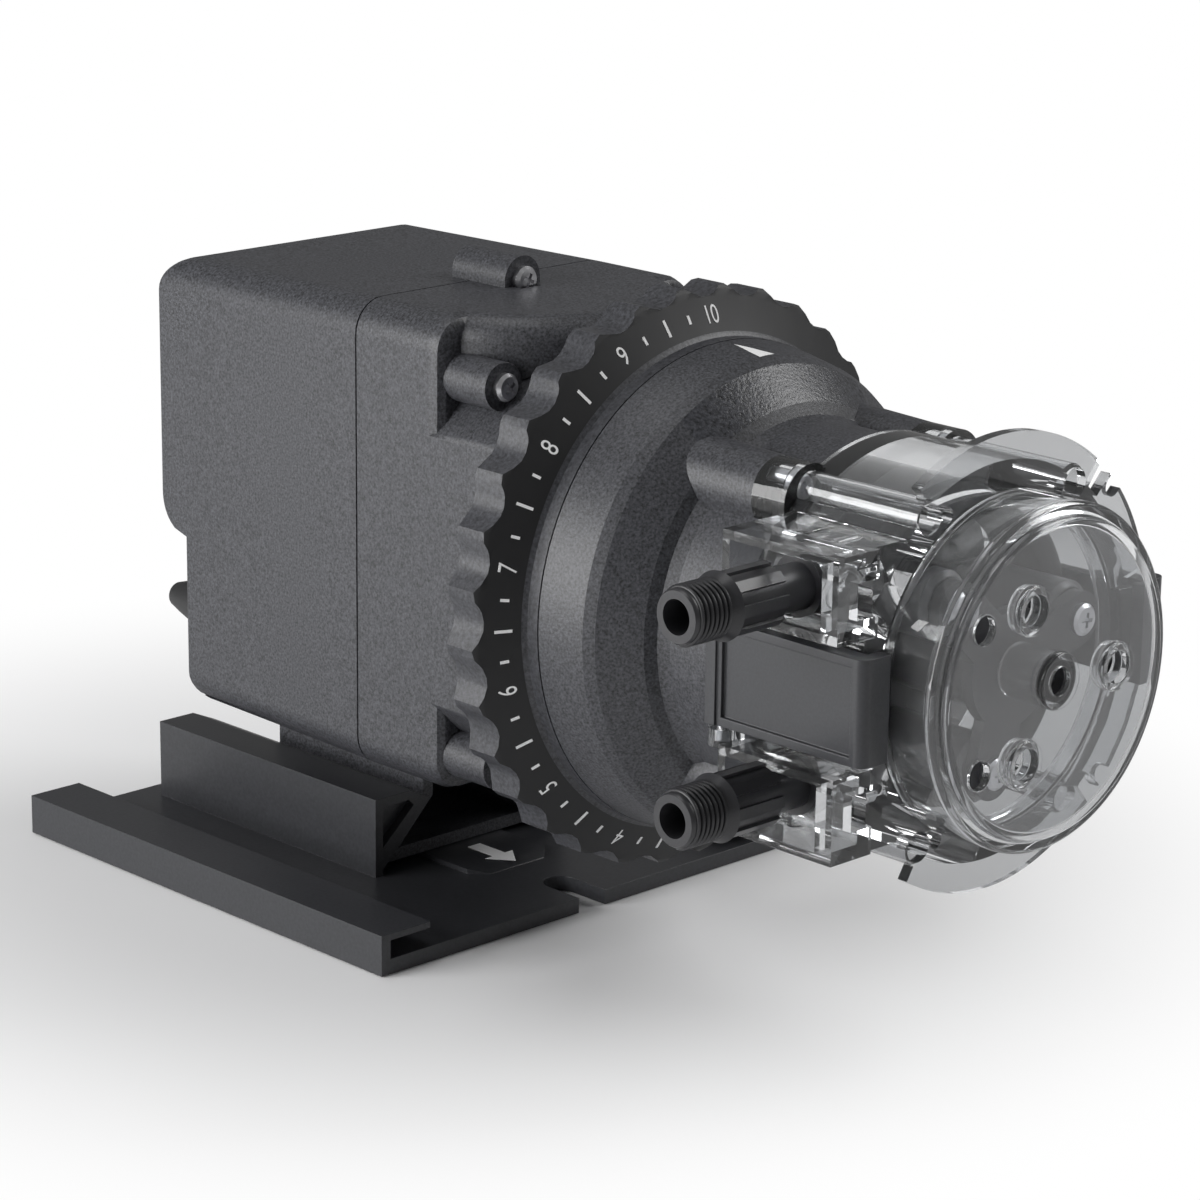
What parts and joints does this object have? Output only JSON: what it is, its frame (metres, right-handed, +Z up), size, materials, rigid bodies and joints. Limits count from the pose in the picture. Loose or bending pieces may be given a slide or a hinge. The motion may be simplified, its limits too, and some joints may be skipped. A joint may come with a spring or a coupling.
{
  "type": "peristaltic metering pump",
  "caption": "Black peristaltic metering pump with a scalloped feed-rate dial, a clear pump head with two side fittings and a slide-on mounting bracket.",
  "frame": {"origin": "middle of the underside of the mounting bracket", "axes": "X right as seen from the front, Y towards the back (the pump head faces -Y), Z up"},
  "size_m": [0.1438, 0.2697, 0.1539],
  "materials": {
    "bracket_plastic": "fine grain, black",
    "case_plastic": "fine leather grain, charcoal black",
    "dial_plastic": "satin, black",
    "latch_plastic": "satin, black",
    "fitting_plastic": "satin, black",
    "clear_plastic": "clear polycarbonate, lightly frosted edges",
    "zinc_screw": "zinc plated",
    "bright_steel": "ground",
    "sheet_steel": "stamped sheet",
    "core_steel": "laminated electrical steel",
    "copper_wire": "enamelled winding",
    "bobbin_plastic": "natural nylon",
    "gear_plastic": "natural acetal",
    "pinion_brass": "hobbed",
    "bushing_bronze": "sintered bronze",
    "fan_plastic": "moulded nylon",
    "rotor_plastic": "moulded, black",
    "roller_plastic": "turned black acetal",
    "tube_rubber": "extruded, black",
    "seal_rubber": "moulded"
  },
  "bodies": {
    "bracket": {"mounting_bracket": "bracket_plastic"},
    "rotor": {"rotor_core": "core_steel", "motor_shaft": "bright_steel", "motor_pinion": "pinion_brass", "cooling_fan": "fan_plastic"},
    "gear_one": {"first_gear": "gear_plastic"},
    "gear_two": {"second_gear": "gear_plastic"},
    "drive": {"output_gear": "gear_plastic", "main_shaft": "bright_steel", "shaft_clip": "sheet_steel", "clutch_plate": "gear_plastic", "disc_spring": "sheet_steel", "thrust_collar": "bushing_bronze", "rear_roller_plate": "rotor_plastic", "front_roller_plate": "rotor_plastic", "roller_pins": "bright_steel", "roller_screws": "zinc_screw"},
    "dial": {"feed_dial": "dial_plastic", "feed_cam": "gear_plastic"},
    "roller_one": {"roller_a": "roller_plastic"},
    "roller_two": {"roller_b": "roller_plastic"},
    "roller_three": {"roller_c": "roller_plastic"},
    "latch_left": {"left_latch": "latch_plastic"},
    "latch_right": {"right_latch": "latch_plastic"},
    "pump": {"motor_housing": "case_plastic", "cord_gland": "seal_rubber", "gear_case": "case_plastic", "case_screws": "zinc_screw", "dial_base": "case_plastic", "base_screws": "zinc_screw", "gear_plate": "sheet_steel", "plate_screws": "zinc_screw", "gear_pins": "bright_steel", "pin_clips": "sheet_steel", "stator_core": "core_steel", "coil_bobbin": "bobbin_plastic", "coil_winding": "copper_wire", "rear_bearing_strap": "sheet_steel", "front_bearing_strap": "sheet_steel", "motor_bushings": "bushing_bronze", "motor_bolts": "zinc_screw", "wall_bushing": "bushing_bronze", "feed_housing": "case_plastic", "neck_screws": "zinc_screw", "neck_bushing": "bushing_bronze", "tube_housing": "clear_plastic", "head_screws": "zinc_screw", "head_cover": "clear_plastic", "cover_bushing": "rotor_plastic", "pump_tube": "tube_rubber", "upper_fitting": "fitting_plastic", "lower_fitting": "fitting_plastic", "fitting_seals": "seal_rubber", "latch_pins": "bright_steel"}
  },
  "joints": [
    {"name": "pump_slide", "type": "slide", "parent": "bracket", "child": "pump", "axis": [0, -1, 0], "range_m": [0, 0.045]},
    {"name": "roller_spin", "type": "hinge", "parent": "pump", "child": "drive", "pos_m": [0, -0.1715, 0.0876], "axis": [0, -1, 0], "continuous": true},
    {"name": "gear_two_spin", "type": "hinge", "parent": "pump", "child": "gear_two", "pos_m": [-0.01197, -0.0515, 0.12049], "axis": [0, -1, 0], "continuous": true},
    {"name": "gear_one_spin", "type": "hinge", "parent": "pump", "child": "gear_one", "pos_m": [0.01121, -0.0415, 0.11428], "axis": [0, -1, 0], "continuous": true},
    {"name": "rotor_spin", "type": "hinge", "parent": "pump", "child": "rotor", "pos_m": [-0.00006, -0.0015, 0.09309], "axis": [0, -1, 0], "continuous": true},
    {"name": "roller_one_spin", "type": "hinge", "parent": "drive", "child": "roller_one", "pos_m": [0.02147, -0.1715, 0.09416], "axis": [0, -1, 0], "continuous": true},
    {"name": "roller_two_spin", "type": "hinge", "parent": "drive", "child": "roller_two", "pos_m": [-0.01642, -0.1715, 0.10291], "axis": [0, -1, 0], "continuous": true},
    {"name": "roller_three_spin", "type": "hinge", "parent": "drive", "child": "roller_three", "pos_m": [-0.00505, -0.1715, 0.06573], "axis": [0, -1, 0], "continuous": true},
    {"name": "dial_turn", "type": "hinge", "parent": "pump", "child": "dial", "pos_m": [0, -0.0935, 0.0876], "axis": [0, -1, 0], "range_deg": [-262, 0]},
    {"name": "left_latch_swing", "type": "hinge", "parent": "pump", "child": "latch_left", "pos_m": [-0.0459, -0.1519, 0.0876], "axis": [0, 0, -1], "range_deg": [0, 75]},
    {"name": "right_latch_swing", "type": "hinge", "parent": "pump", "child": "latch_right", "pos_m": [0.0459, -0.1519, 0.0876], "axis": [0, 0, 1], "range_deg": [0, 75]}
  ],
  "couplings": [
    {"joint": "gear_two_spin", "follows": "roller_spin", "ratio": -3},
    {"joint": "gear_one_spin", "follows": "roller_spin", "ratio": 9},
    {"joint": "rotor_spin", "follows": "roller_spin", "ratio": -36},
    {"joint": "roller_one_spin", "follows": "roller_spin", "ratio": -3.9933},
    {"joint": "roller_two_spin", "follows": "roller_spin", "ratio": -3.9933},
    {"joint": "roller_three_spin", "follows": "roller_spin", "ratio": -3.9933}
  ]
}
